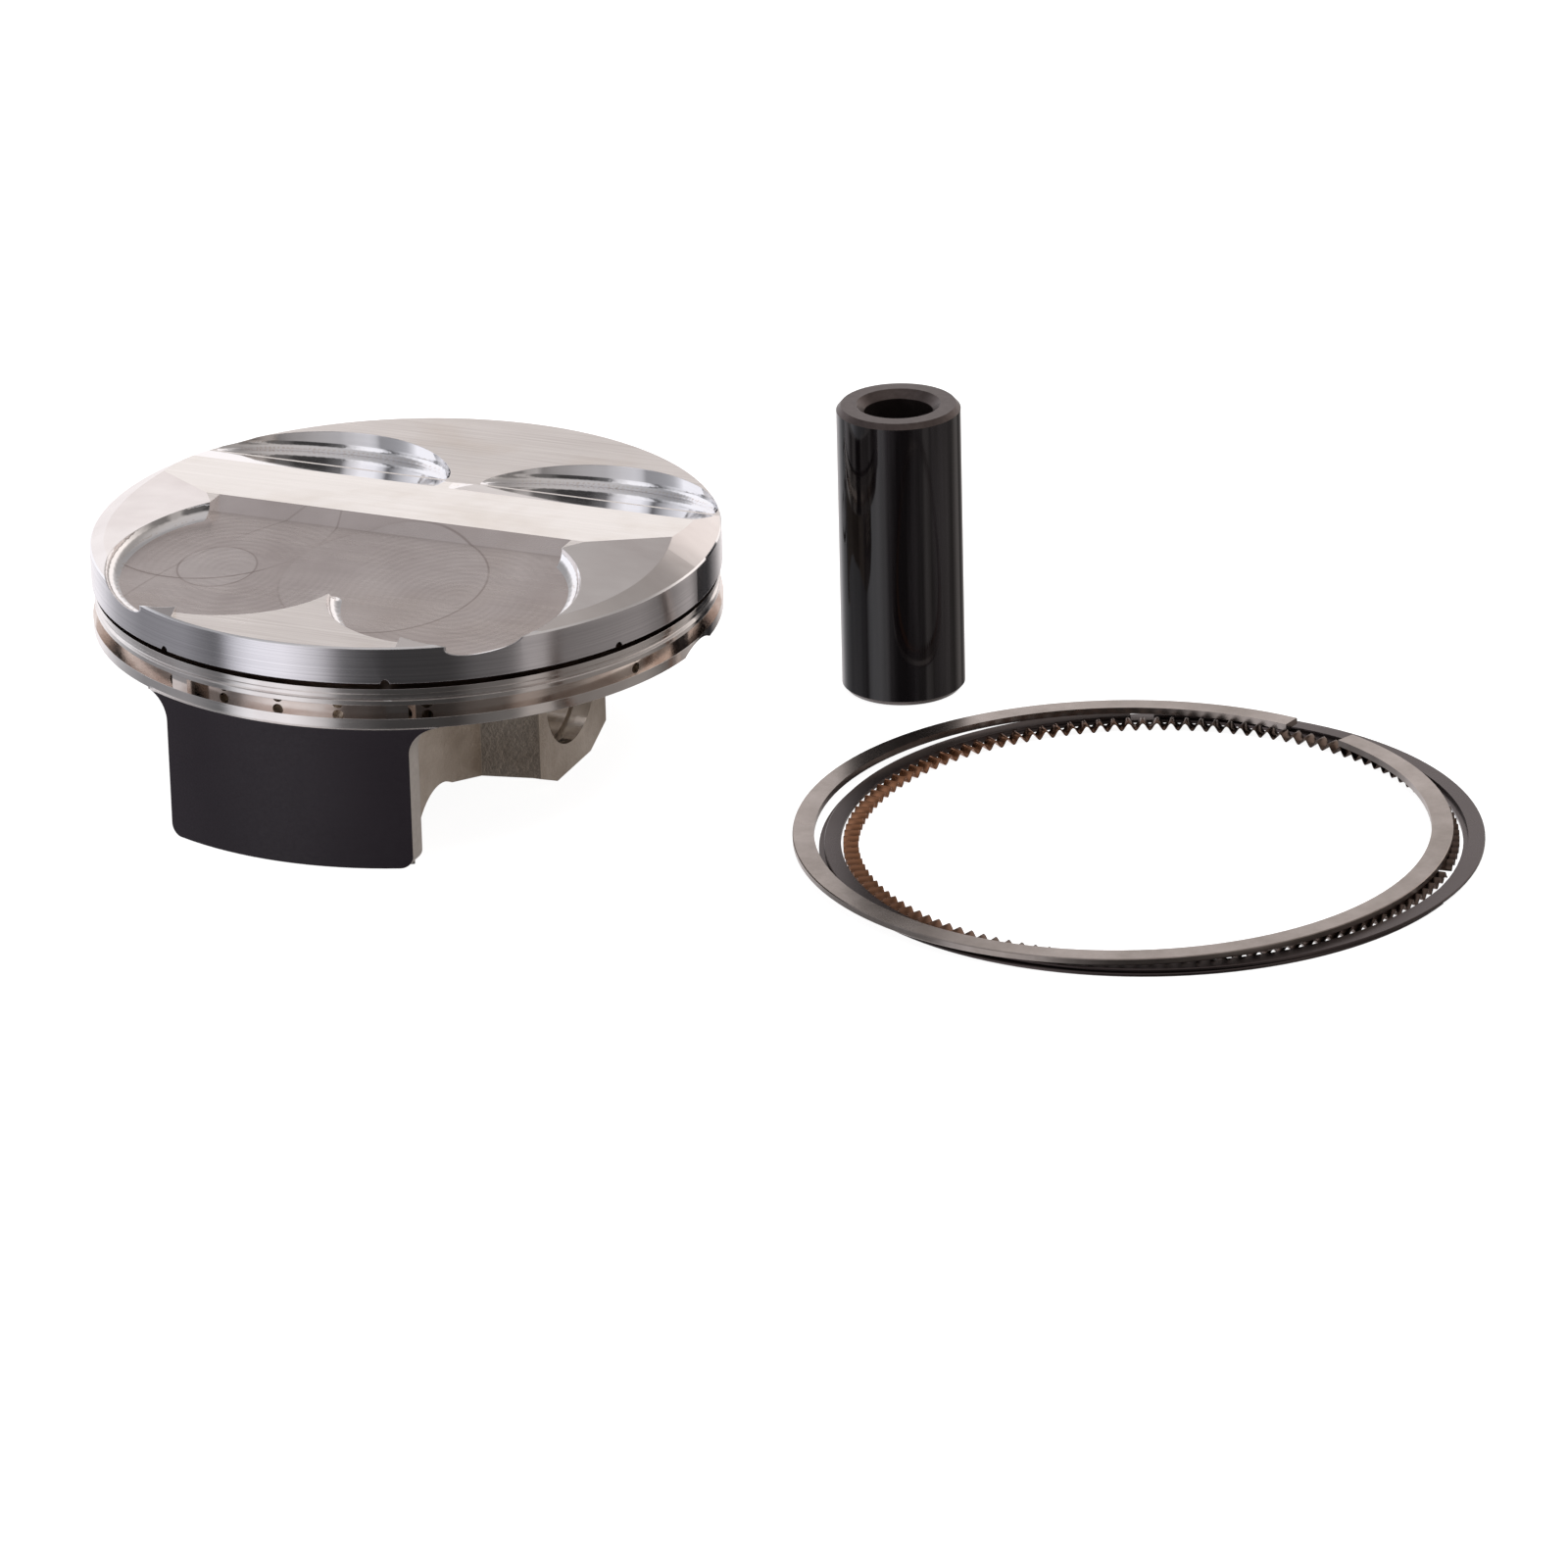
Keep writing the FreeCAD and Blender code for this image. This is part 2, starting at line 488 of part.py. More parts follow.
# ---------------------------------------------------------------- checks and export
doc.recompute()
for item in doc.Objects:
    if "Invalid" in item.State or "Error" in item.State:
        raise RuntimeError("%s does not build: %s" % (item.Name, item.State))
os.makedirs("parts", exist_ok=True)
nodes = {"piston_body": piston, "wrist_pin": pin, "compression_ring": top_ring,
         "oil_rail_upper": upper_rail, "oil_expander": expander, "oil_rail_lower": lower_rail,
         "circlip_left": clip_left, "circlip_right": clip_right}
for name, item in nodes.items():
    item.Label = name
    shape = item.Shape
    if shape.isNull() or not shape.isValid() or len(shape.Solids) != 1:
        raise RuntimeError("%s is not one sound solid (%d)" % (name, len(shape.Solids)))
    shape.exportStep(os.path.join("parts", name + ".step"))
    box = shape.BoundBox
    print("%-18s volume %9.1f  x %.2f..%.2f  y %.2f..%.2f  z %.2f..%.2f" % (
        name, shape.Volume, box.XMin, box.XMax, box.YMin, box.YMax, box.ZMin, box.ZMax))
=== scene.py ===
import math

import bmesh
import bpy
from mathutils import Matrix, Vector


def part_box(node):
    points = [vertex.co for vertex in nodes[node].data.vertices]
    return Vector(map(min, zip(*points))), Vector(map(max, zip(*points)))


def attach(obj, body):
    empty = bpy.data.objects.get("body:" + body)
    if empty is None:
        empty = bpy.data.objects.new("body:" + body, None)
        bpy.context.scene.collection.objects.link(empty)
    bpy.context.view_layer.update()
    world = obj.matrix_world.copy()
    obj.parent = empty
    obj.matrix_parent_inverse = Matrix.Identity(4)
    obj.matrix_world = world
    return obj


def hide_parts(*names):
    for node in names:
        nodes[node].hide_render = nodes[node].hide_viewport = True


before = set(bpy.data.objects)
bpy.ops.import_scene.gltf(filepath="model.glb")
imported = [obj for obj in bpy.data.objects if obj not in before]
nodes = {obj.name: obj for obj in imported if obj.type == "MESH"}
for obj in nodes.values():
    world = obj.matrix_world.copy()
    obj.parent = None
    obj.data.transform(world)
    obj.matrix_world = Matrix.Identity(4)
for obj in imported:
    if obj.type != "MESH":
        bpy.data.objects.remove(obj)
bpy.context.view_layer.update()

MM = 0.001

# ------------------------------------------------------------------ sizes read from the frame
PISTON_LOW, PISTON_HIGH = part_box("piston_body")
FLOOR_Z = min(PISTON_LOW.z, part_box("wrist_pin")[0].z)
PIN_LOW, PIN_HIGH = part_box("wrist_pin")
PIN_X = (PIN_LOW.x + PIN_HIGH.x) / 2
PIN_Y = (PIN_LOW.y + PIN_HIGH.y) / 2
# Centres of the two front (exhaust) pockets, mirrored in x
EXHAUST_X = 18.2 * MM
EXHAUST_Y = -22.9 * MM


# ------------------------------------------------------------------ node helpers
def fill_ramp(ramp, stops):
    """Give a colour ramp its grey stops: (position, level) pairs in rising order."""
    ramp.elements.remove(ramp.elements[-1])
    for index, (at, level) in enumerate(stops):
        if index == 0:
            element = ramp.elements[0]
            element.position = at
        else:
            element = ramp.elements.new(at)
        element.color = (level, level, level, 1)


class Shader:
    """A material being built: each call adds a node and returns the socket asked for."""

    def __init__(self, name):
        self.material = bpy.data.materials.new(name)
        self.material.use_nodes = True
        self.tree = self.material.node_tree
        self.bsdf = self.tree.nodes["Principled BSDF"]
        coords = self.tree.nodes.new("ShaderNodeTexCoord")
        self.place = coords.outputs["Object"]
        split = self.tree.nodes.new("ShaderNodeSeparateXYZ")
        self.link(self.place, split.inputs[0])
        self.x, self.y, self.z = split.outputs

    def link(self, source, target):
        self.tree.links.new(source, target)

    def feed(self, socket, value):
        if isinstance(value, (int, float)):
            socket.default_value = value
        elif isinstance(value, tuple):
            socket.default_value = (*value, 1.0) if len(socket.default_value) == 4 else value
        else:
            self.link(value, socket)

    def set(self, **values):
        for name, value in values.items():
            self.feed(self.bsdf.inputs[name.replace("_", " ")], value)

    def math(self, operation, a, b=0.0, c=None, clamp=False):
        node = self.tree.nodes.new("ShaderNodeMath")
        node.operation = operation
        node.use_clamp = clamp
        self.feed(node.inputs[0], a)
        self.feed(node.inputs[1], b)
        if c is not None:
            self.feed(node.inputs[2], c)
        return node.outputs[0]

    def vector(self, x, y, z):
        node = self.tree.nodes.new("ShaderNodeCombineXYZ")
        for socket, value in zip(node.inputs, (x, y, z)):
            self.feed(socket, value)
        return node.outputs[0]

    def stretched(self, sx, sy, sz, source=None):
        node = self.tree.nodes.new("ShaderNodeMapping")
        self.link(source or self.place, node.inputs["Vector"])
        node.inputs["Scale"].default_value = (sx, sy, sz)
        return node.outputs[0]

    def noise(self, scale, detail=3.0, roughness=0.55, source=None):
        node = self.tree.nodes.new("ShaderNodeTexNoise")
        self.link(source or self.place, node.inputs["Vector"])
        node.inputs["Scale"].default_value = scale
        node.inputs["Detail"].default_value = detail
        node.inputs["Roughness"].default_value = roughness
        return node.outputs["Fac"]

    def ramp(self, value, stops):
        """Piecewise grey curve: stops are (input, output) pairs."""
        node = self.tree.nodes.new("ShaderNodeValToRGB")
        self.feed(node.inputs[0], value)
        fill_ramp(node.color_ramp, stops)
        return node.outputs[0]

    def mix(self, factor, low, high):
        node = self.tree.nodes.new("ShaderNodeMix")
        node.data_type = "RGBA"
        self.feed(node.inputs[0], factor)
        self.feed(node.inputs[6], low)
        self.feed(node.inputs[7], high)
        return node.outputs[2]

    def span(self, value, start, end, low, high):
        node = self.tree.nodes.new("ShaderNodeMapRange")
        for socket, number in zip(node.inputs[:5], (value, start, end, low, high)):
            self.feed(socket, number)
        return node.outputs[0]

    def radius_from(self, cx, cy):
        dx = self.math("SUBTRACT", self.x, cx)
        dy = self.math("SUBTRACT", self.y, cy)
        square = self.math("ADD", self.math("MULTIPLY", dx, dx), self.math("MULTIPLY", dy, dy))
        return self.math("SQRT", square)

    def bump(self, height, strength, distance, rounding=0.0):
        """Fine relief; rounding softens sharp edges over that many metres so that they catch the light."""
        node = self.tree.nodes.new("ShaderNodeBump")
        if rounding:
            soft = self.tree.nodes.new("ShaderNodeBevel")
            soft.samples = 4
            soft.inputs["Radius"].default_value = rounding
            self.link(soft.outputs[0], node.inputs["Normal"])
        node.inputs["Strength"].default_value = strength
        node.inputs["Distance"].default_value = distance
        self.feed(node.inputs["Height"], height)
        self.link(node.outputs[0], self.bsdf.inputs["Normal"])


# ------------------------------------------------------------------ materials
# How far the sharp edges of machined faces are softened in the shading
EDGE = 0.16 * MM


def turned_land():
    """Turned band round the crown: fine lines run round it."""
    s = Shader("turned_land")
    lines = s.noise(60, 4, 0.6, s.stretched(0.25, 0.25, 90))
    blotch = s.noise(70, 3)
    tone = s.mix(s.ramp(lines, ((0.3, 0.0), (0.7, 1.0))), (0.70, 0.69, 0.72), (0.88, 0.87, 0.90))
    s.set(Base_Color=tone, Metallic=1.0, Roughness=s.span(blotch, 0.3, 0.7, 0.13, 0.20))
    s.bump(lines, 0.10, 0.00003, EDGE)
    return s.material


def ring_groove_painted_shade():
    s = Shader("ring_groove_painted_shade")
    lines = s.noise(60, 4, 0.6, s.stretched(0.3, 0.3, 90))
    stain = s.noise(120, 3)
    # Painted shade: the dark brown of the groove stands in for the shade deep in the recess; the stain noise
    # only varies it at random.
    tone = s.mix(s.ramp(stain, ((0.35, 0.0), (0.65, 1.0))), (0.16, 0.11, 0.09), (0.42, 0.36, 0.32))
    s.set(Base_Color=tone, Metallic=1.0, Roughness=0.30)
    s.bump(lines, 0.10, 0.00003)
    return s.material


def oil_groove():
    """The wide lower groove, polished by the cutter and a little stained."""
    s = Shader("oil_groove")
    stain = s.noise(110, 3)
    lines = s.noise(60, 3, 0.5, s.stretched(0.2, 0.2, 70))
    tone = s.mix(s.ramp(stain, ((0.35, 0.0), (0.65, 1.0))), (0.70, 0.63, 0.59), (0.88, 0.84, 0.81))
    s.set(Base_Color=tone, Metallic=1.0, Roughness=s.span(lines, 0.3, 0.7, 0.08, 0.15))
    s.bump(lines, 0.05, 0.00002)
    return s.material


def polished_land():
    """The bands between the ring grooves, brighter and smoother than the top one."""
    s = Shader("polished_land")
    lines = s.noise(60, 3, 0.5, s.stretched(0.2, 0.2, 70))
    smear = s.noise(90, 3)
    tone = s.mix(s.ramp(smear, ((0.35, 0.0), (0.65, 1.0))), (0.78, 0.74, 0.72), (0.92, 0.90, 0.88))
    s.set(Base_Color=tone, Metallic=1.0, Roughness=s.span(lines, 0.3, 0.7, 0.09, 0.16))
    s.bump(lines, 0.06, 0.00002, EDGE)
    return s.material


# Where the cutter changed its path on the pocket floor: centre, radius, brighter inside by, darker line by
TOOL_ARCS = ((-21.0 * MM, -22.0 * MM, 6.0 * MM, 0.16, 0.55),
             (-27.2 * MM, -7.8 * MM, 18.9 * MM, 0.03, 0.65),
             (32.7 * MM, -49.2 * MM, 65.4 * MM, 0.02, 0.30),
             (5.3 * MM, -19.7 * MM, 15.7 * MM, 0.12, 0.50))


def milled_floor():
    """Floor of the front pockets: cutter arcs round each valve's centre, faint cross lines, heat stains."""
    s = Shader("milled_floor")
    swirl_left = s.radius_from(-EXHAUST_X, EXHAUST_Y)
    swirl_right = s.radius_from(EXHAUST_X, EXHAUST_Y)
    near = s.math("MINIMUM", swirl_left, swirl_right)
    wobble = s.math("MULTIPLY", s.noise(55, 3), 0.0035)
    rings = s.math("SINE", s.math("MULTIPLY", s.math("ADD", near, wobble), 5200.0))
    cloud = s.noise(38, 4, 0.6)
    stain = s.noise(22, 3, 0.6)
    scratch = s.noise(70, 4, 0.7, s.stretched(1.0, 14, 1))
    tone = s.mix(s.ramp(cloud, ((0.3, 0.0), (0.7, 1.0))), (0.54, 0.475, 0.455), (0.82, 0.755, 0.73))
    stained = s.math("MULTIPLY", s.ramp(stain, ((0.52, 0.0), (0.75, 1.0))), 0.55)
    tone = s.mix(stained, tone, (0.60, 0.50, 0.43))
    broken = s.ramp(s.noise(45, 3), ((0.40, 0.0), (0.55, 1.0)))
    for cx, cy, radius, lift, line in TOOL_ARCS:
        reach = s.radius_from(cx, cy)
        inside = s.span(reach, radius - 0.15 * MM, radius, lift, 0.0)
        tone = s.mix(inside, tone, (0.90, 0.86, 0.85))
        off_line = s.math("ABSOLUTE", s.math("SUBTRACT", reach, radius))
        edge = s.span(off_line, 0.05 * MM, 0.25 * MM, line, 0.0)
        tone = s.mix(s.math("MULTIPLY", edge, broken), tone, (0.30, 0.24, 0.22))
    s.set(Base_Color=tone, Metallic=1.0, Roughness=s.span(scratch, 0.3, 0.7, 0.20, 0.30))
    height = s.math("ADD", s.math("MULTIPLY", rings, 0.20), s.math("ADD", cloud, scratch))
    s.bump(height, 0.14, 0.00006, EDGE)
    return s.material


def flank_finish():
    """Sloping sides of the crown: smooth, with cloudy smears."""
    s = Shader("flank_finish")
    cloud = s.noise(30, 4, 0.6, s.stretched(1.0, 1.8, 1.0))
    smear = s.noise(55, 3, 0.6)
    tone = s.mix(s.ramp(cloud, ((0.3, 0.0), (0.7, 1.0))), (0.74, 0.69, 0.67), (0.93, 0.90, 0.88))
    s.set(Base_Color=tone, Metallic=1.0, Roughness=s.span(smear, 0.3, 0.7, 0.12, 0.22))
    s.bump(cloud, 0.06, 0.00005, EDGE)
    return s.material


def polished_floor():
    """The smooth strip across the middle of the crown."""
    s = Shader("polished_floor")
    grain = s.noise(60, 4, 0.6, s.stretched(0.6, 30, 1))
    cloud = s.noise(30, 3)
    smudge = s.noise(26, 4, 0.7)
    tone = s.mix(grain, (0.74, 0.71, 0.67), (0.90, 0.88, 0.85))
    smudged = s.math("MULTIPLY", s.ramp(smudge, ((0.46, 0.0), (0.66, 1.0))), 0.70)
    tone = s.mix(smudged, tone, (0.66, 0.60, 0.53))
    s.set(Base_Color=tone, Metallic=1.0, Roughness=s.span(cloud, 0.3, 0.7, 0.16, 0.26))
    s.bump(grain, 0.10, 0.00004, EDGE)
    return s.material


def mirror_wall():
    """Walls of the valve pockets and floors of the back ones, cut with a polished tool."""
    s = Shader("mirror_wall")
    lines = s.noise(50, 3, 0.6, s.stretched(1, 1, 40))
    s.set(Base_Color=s.mix(lines, (0.90, 0.90, 0.91), (0.97, 0.97, 0.98)), Metallic=1.0,
          Roughness=s.span(lines, 0.3, 0.7, 0.03, 0.06))
    s.bump(lines, 0.05, 0.00003, EDGE)
    return s.material


def brushed_deck():
    s = Shader("brushed_deck")
    grain = s.noise(55, 5, 0.65, s.stretched(0.7, 34, 6))
    cloud = s.noise(26, 3)
    stain = s.noise(45, 4, 0.65)
    tone = s.mix(s.ramp(grain, ((0.25, 0.0), (0.75, 1.0))), (0.58, 0.54, 0.51), (0.80, 0.77, 0.74))
    stained = s.math("MULTIPLY", s.ramp(stain, ((0.58, 0.0), (0.75, 1.0))), 0.30)
    tone = s.mix(stained, tone, (0.56, 0.46, 0.36))
    s.set(Base_Color=tone, Metallic=1.0, Roughness=s.span(cloud, 0.3, 0.7, 0.24, 0.34))
    s.bump(grain, 0.25, 0.00005, EDGE)
    return s.material


def dry_film_coating():
    """Sprayed black film on the skirts, with a fine grain and barely seen turned lines under it."""
    s = Shader("dry_film_coating")
    grain = s.noise(1500, 3, 0.6)
    cloud = s.noise(45, 4)
    lines = s.noise(60, 3, 0.6, s.stretched(0.3, 0.3, 40))
    tone = s.mix(cloud, (0.0105, 0.0065, 0.0110), (0.0210, 0.0155, 0.0215))
    s.set(Base_Color=tone, Metallic=0.0, Roughness=s.span(grain, 0.3, 0.7, 0.40, 0.55))
    s.bsdf.inputs["Specular IOR Level"].default_value = 0.32
    s.bump(s.math("ADD", grain, s.math("MULTIPLY", lines, 0.8)), 0.3, 0.00006)
    return s.material


def blasted_forging():
    s = Shader("blasted_forging")
    grain = s.noise(650, 4, 0.75)
    cloud = s.noise(60, 4)
    tone = s.mix(s.ramp(cloud, ((0.3, 0.0), (0.7, 1.0))), (0.46, 0.39, 0.32), (0.80, 0.73, 0.65))
    s.set(Base_Color=tone, Metallic=1.0, Roughness=s.span(grain, 0.3, 0.7, 0.32, 0.50))
    s.bump(grain, 0.9, 0.00030, EDGE)
    return s.material


def cut_edge():
    """Bare, bright edge where the coated skirt was trimmed."""
    s = Shader("cut_edge")
    grain = s.noise(800, 4, 0.7)
    s.set(Base_Color=s.mix(grain, (0.60, 0.57, 0.53), (0.88, 0.85, 0.82)), Metallic=1.0, Roughness=0.42)
    s.bump(grain, 0.5, 0.00010, EDGE)
    return s.material


def honed_bore():
    s = Shader("honed_bore")
    lines = s.noise(60, 4, 0.6, s.stretched(60, 1, 1))
    s.set(Base_Color=s.mix(lines, (0.66, 0.63, 0.60), (0.84, 0.82, 0.79)), Metallic=1.0, Roughness=0.15)
    s.bump(lines, 0.12, 0.00003)
    return s.material


def black_pin():
    """Hard black coating over ground steel; long faint streaks run along it."""
    s = Shader("black_pin")
    streaks = s.noise(420, 3, 0.6, s.stretched(1, 1, 0.03))
    smears = s.noise(60, 3)
    tone = s.mix(s.ramp(streaks, ((0.45, 0.0), (0.8, 1.0))), (0.0035, 0.0025, 0.0030), (0.022, 0.019, 0.021))
    s.set(Base_Color=tone, Metallic=0.0, Roughness=s.span(smears, 0.3, 0.7, 0.04, 0.10))
    s.bsdf.inputs["Specular IOR Level"].default_value = 0.55
    return s.material


def pin_end_and_painted_bore_light():
    s = Shader("pin_end_and_painted_bore_light")
    lines = s.noise(900, 3)
    # Partly painted light: this brownish grey is raised so that the inside of the pin's hole looks lit
    # though it lies in shade; on the ends and chamfers it stands for their own colour.
    tone = s.mix(lines, (0.060, 0.045, 0.042), (0.115, 0.095, 0.090))
    s.set(Base_Color=tone, Metallic=0.85, Roughness=0.34)
    s.bump(lines, 0.15, 0.00004, EDGE)
    return s.material


def lapped_steel():
    s = Shader("lapped_steel")
    stain = s.noise(130, 5, 0.7)
    cloud = s.noise(35, 3)
    tone = s.mix(s.ramp(stain, ((0.3, 0.0), (0.7, 1.0))), (0.32, 0.28, 0.25), (0.48, 0.43, 0.40))
    s.set(Base_Color=tone, Metallic=1.0, Roughness=s.span(cloud, 0.3, 0.7, 0.22, 0.32))
    s.bump(stain, 0.08, 0.00005)
    return s.material


def dark_rail():
    s = Shader("dark_rail")
    cloud = s.noise(70, 4)
    tone = s.mix(cloud, (0.060, 0.047, 0.047), (0.115, 0.095, 0.092))
    s.set(Base_Color=tone, Metallic=0.95, Roughness=s.span(cloud, 0.3, 0.7, 0.24, 0.34))
    return s.material


def brown_expander():
    """Brown stainless strip: copper brown towards the low-x side of the ring, darker brown round the rest.
    """
    s = Shader("brown_expander")
    cloud = s.noise(60, 4)
    low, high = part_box("oil_expander")
    across = s.span(s.x, low.x + 4 * MM, low.x + 38 * MM, 1.0, 0.0)
    dark = s.mix(cloud, (0.080, 0.055, 0.045), (0.150, 0.110, 0.090))
    copper = s.mix(cloud, (0.24, 0.11, 0.06), (0.40, 0.20, 0.11))
    s.set(Base_Color=s.mix(across, dark, copper), Metallic=1.0, Roughness=0.26)
    return s.material


def clip_wire():
    s = Shader("clip_wire")
    drawn = s.noise(200, 3)
    s.set(Base_Color=s.mix(drawn, (0.10, 0.09, 0.09), (0.22, 0.20, 0.19)), Metallic=1.0, Roughness=0.28)
    return s.material


# ------------------------------------------------------------------ which finish each face has
PISTON_FINISHES = [turned_land(), ring_groove_painted_shade(), oil_groove(), polished_land(), milled_floor(),
                   polished_floor(), flank_finish(), mirror_wall(), brushed_deck(), dry_film_coating(),
                   blasted_forging(), cut_edge(), honed_bore()]
(LAND, GROOVE, OIL_GROOVE, BAND, FLOOR, POLISHED, FLANK, WALL, DECK, COATING, FORGING, EDGE_FACE,
 BORE) = range(len(PISTON_FINISHES))


# Levels and radii, in mm, that tell the faces below the crown apart
CROWN_BASE = 15.7
LAND_BASE = 15.4
TOP_GROOVE = (14.4, 15.6)
WIDE_GROOVE = (9.85, 11.95)
BELT_BASE = 8.2
BELT_INNER = 42.9
RIM_RADIUS = 46.9
LAND_RADIUS = 47.0
GROOVE_LIP = 47.1
SKIRT_RADIUS = 47.3
SKIRT_EDGE = 44.5
BORE_RADIUS = 9.52
BORE_START = 11

# Places, in mm, and leanings that tell the crown's faces apart: 1 faces straight up
STRIP_FRONT = -3.9
FLOOR_BACK = -7
LEVEL = 0.99999
STRAIGHT = 0.02
FLANK_FACING = (0.985, 0.995)
FLANK_SIDEWAYS = 0.113
CONE_FACING = (0.866, 0.884)


def piston_finish(centre, normal):
    """Finish of one piston face from its middle point (mm) and the way it faces."""
    x, y, z = (value / MM for value in centre)
    radius = math.hypot(x, y)
    outward = (normal.x * x + normal.y * y) / max(radius, 1e-6)
    if z > CROWN_BASE and (normal.z > 0.2 or radius < RIM_RADIUS):
        return crown_finish(y, normal)
    if z > BELT_BASE and radius > BELT_INNER:
        if radius > LAND_RADIUS and outward > 0.5 and z > LAND_BASE:
            return LAND
        if TOP_GROOVE[0] < z < TOP_GROOVE[1]:
            return GROOVE
        if WIDE_GROOVE[0] < z < WIDE_GROOVE[1] and (radius < GROOVE_LIP or abs(normal.z) > 0.5):
            return OIL_GROOVE
        return BAND
    if z > BELT_BASE:
        return FORGING
    if abs(math.hypot(y, z) - BORE_RADIUS) < 0.9 and abs(normal.x) < 0.2 and abs(x) > BORE_START:
        return BORE
    if radius > SKIRT_RADIUS and outward > 0.6:
        return COATING
    if radius > SKIRT_EDGE and abs(normal.x) > 0.3:
        return EDGE_FACE
    return FORGING


def crown_finish(y, normal):
    """Finish of a crown face: told apart by how far it leans and which way."""
    front = y < STRIP_FRONT
    flat_across = abs(normal.x) < STRAIGHT
    if normal.z > LEVEL:
        return DECK
    if flat_across and front and normal.z > 0.7 and (normal.z > 0.9 or y > FLOOR_BACK):
        return FLOOR
    if flat_across and not front and normal.z > 0.98:
        return POLISHED
    if FLANK_FACING[0] < normal.z < FLANK_FACING[1] and abs(abs(normal.x) - FLANK_SIDEWAYS) < STRAIGHT:
        return FLANK
    if CONE_FACING[0] < normal.z < CONE_FACING[1]:
        return FLANK
    return WALL


def finish_faces(node, finishes, chooser):
    mesh = node.data
    mesh.materials.clear()
    for finish in finishes:
        mesh.materials.append(finish)
    for face in mesh.polygons:
        face.material_index = chooser(face.center, face.normal)


def single_finish(node, finish):
    node.data.materials.clear()
    node.data.materials.append(finish)


def pin_finish(centre, normal):
    """0 on the pin's outer wall, 1 on its ends, chamfers and hole."""
    reach = math.hypot(centre.x - PIN_X, centre.y - PIN_Y)
    return 0 if abs(normal.z) < 0.05 and reach > 9 * MM else 1


finish_faces(nodes["piston_body"], PISTON_FINISHES, piston_finish)
finish_faces(nodes["wrist_pin"], [black_pin(), pin_end_and_painted_bore_light()], pin_finish)
single_finish(nodes["compression_ring"], lapped_steel())
rail_finish = dark_rail()
single_finish(nodes["oil_rail_upper"], rail_finish)
single_finish(nodes["oil_rail_lower"], rail_finish)


# The expander strip: sizes, and its start and sweep in degrees
STRIP_WIDTH = 2.26 * MM
STRIP_THICKNESS = 0.26 * MM
STRIP_WAVES = 126
STEPS_PER_WAVE = 12
STRIP_START = 5.9
STRIP_SWEEP = 356.9


def wavy_strip():
    """The oil-ring expander as one smooth strip that rolls up and down round the ring."""
    low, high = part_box("oil_expander")
    middle = (low + high) / 2
    outer = (high.x - low.x) / 2 - 0.02 * MM
    inner = outer - STRIP_WIDTH
    rise = high.z - low.z - STRIP_THICKNESS
    start = math.radians(STRIP_START)
    sweep = math.radians(STRIP_SWEEP)
    steps = STRIP_WAVES * STEPS_PER_WAVE
    corner = 0.06 * MM
    section = ((inner, corner), (inner + corner, 0), (outer - corner, 0), (outer, corner),
               (outer, STRIP_THICKNESS - corner), (outer - corner, STRIP_THICKNESS),
               (inner + corner, STRIP_THICKNESS), (inner, STRIP_THICKNESS - corner))
    points = []
    for step in range(steps + 1):
        turn = start + sweep * step / steps
        wave = 2 * math.pi * step / STEPS_PER_WAVE
        height = low.z + rise * (0.5 - 0.5 * math.cos(wave))
        for radius, lift in section:
            x = middle.x + radius * math.cos(turn)
            y = middle.y + radius * math.sin(turn)
            points.append((x, y, height + lift))
    size = len(section)
    faces = []
    for step in range(steps):
        for side in range(size):
            near = step * size
            far = near + size
            following = (side + 1) % size
            faces.append((near + side, near + following, far + following, far + side))
    faces.append(tuple(range(size - 1, -1, -1)))
    faces.append(tuple(steps * size + side for side in range(size)))
    mesh = bpy.data.meshes.new("wavy_expander")
    mesh.from_pydata(points, [], faces)
    mesh.update()
    work = bmesh.new()
    work.from_mesh(mesh)
    bmesh.ops.recalc_face_normals(work, faces=work.faces)
    work.to_mesh(mesh)
    work.free()
    for face in mesh.polygons:
        face.use_smooth = True
    mesh.materials.append(brown_expander())
    strip = bpy.data.objects.new("wavy_expander", mesh)
    bpy.context.collection.objects.link(strip)
    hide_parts("oil_expander")
    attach(strip, "expander")


wavy_strip()
wire_finish = clip_wire()
single_finish(nodes["circlip_left"], wire_finish)
single_finish(nodes["circlip_right"], wire_finish)


# ------------------------------------------------------------------ stage, light and camera
def add_floor():
    half = 6.0
    mesh = bpy.data.meshes.new("studio_floor")
    z = FLOOR_Z - 0.00002
    mesh.from_pydata([(-half, -half, z), (half, -half, z), (half, half, z), (-half, half, z)], [],
                     [(0, 1, 2, 3)])
    floor = bpy.data.objects.new("studio_floor", mesh)
    bpy.context.collection.objects.link(floor)
    s = Shader("studio_floor")
    s.set(Base_Color=(0.30, 0.30, 0.30), Roughness=0.9)
    s.set(Emission_Color=(1.0, 1.0, 1.0), Emission_Strength=0.93)
    s.bsdf.inputs["Specular IOR Level"].default_value = 0.0
    mesh.materials.append(s.material)
    floor.visible_glossy = False


# Brightness of the room round the set, by heading from the front (degrees, + to the right), below eye level
ROOM_BELOW = ((-180, 1.00), (-150, 0.98), (-130, 0.44), (-112, 0.26), (-88, 0.30), (-71, 0.10), (-66, 0.62),
              (-58, 0.95), (-44, 0.98), (-31, 0.62), (-24, 0.14), (-8, 0.045), (18, 0.045), (25, 0.11),
              (40, 0.13), (45, 0.40), (53, 0.36), (58, 0.17), (95, 0.26), (110, 0.14), (126, 0.42),
              (138, 0.42), (141, 0.10), (152, 0.18), (166, 0.80), (180, 1.00))
# Brightness of the backdrop above the horizon, by height (sine of the elevation)
BACKDROP = ((0.0, 1.0), (0.44, 1.0), (0.52, 0.55), (0.60, 0.34), (0.75, 0.30), (1.0, 0.50))
OVERHEAD = 0.50
COOL_SIDE = (1.0, 0.99, 1.04)
WARM_SIDE = (1.06, 0.97, 0.92)


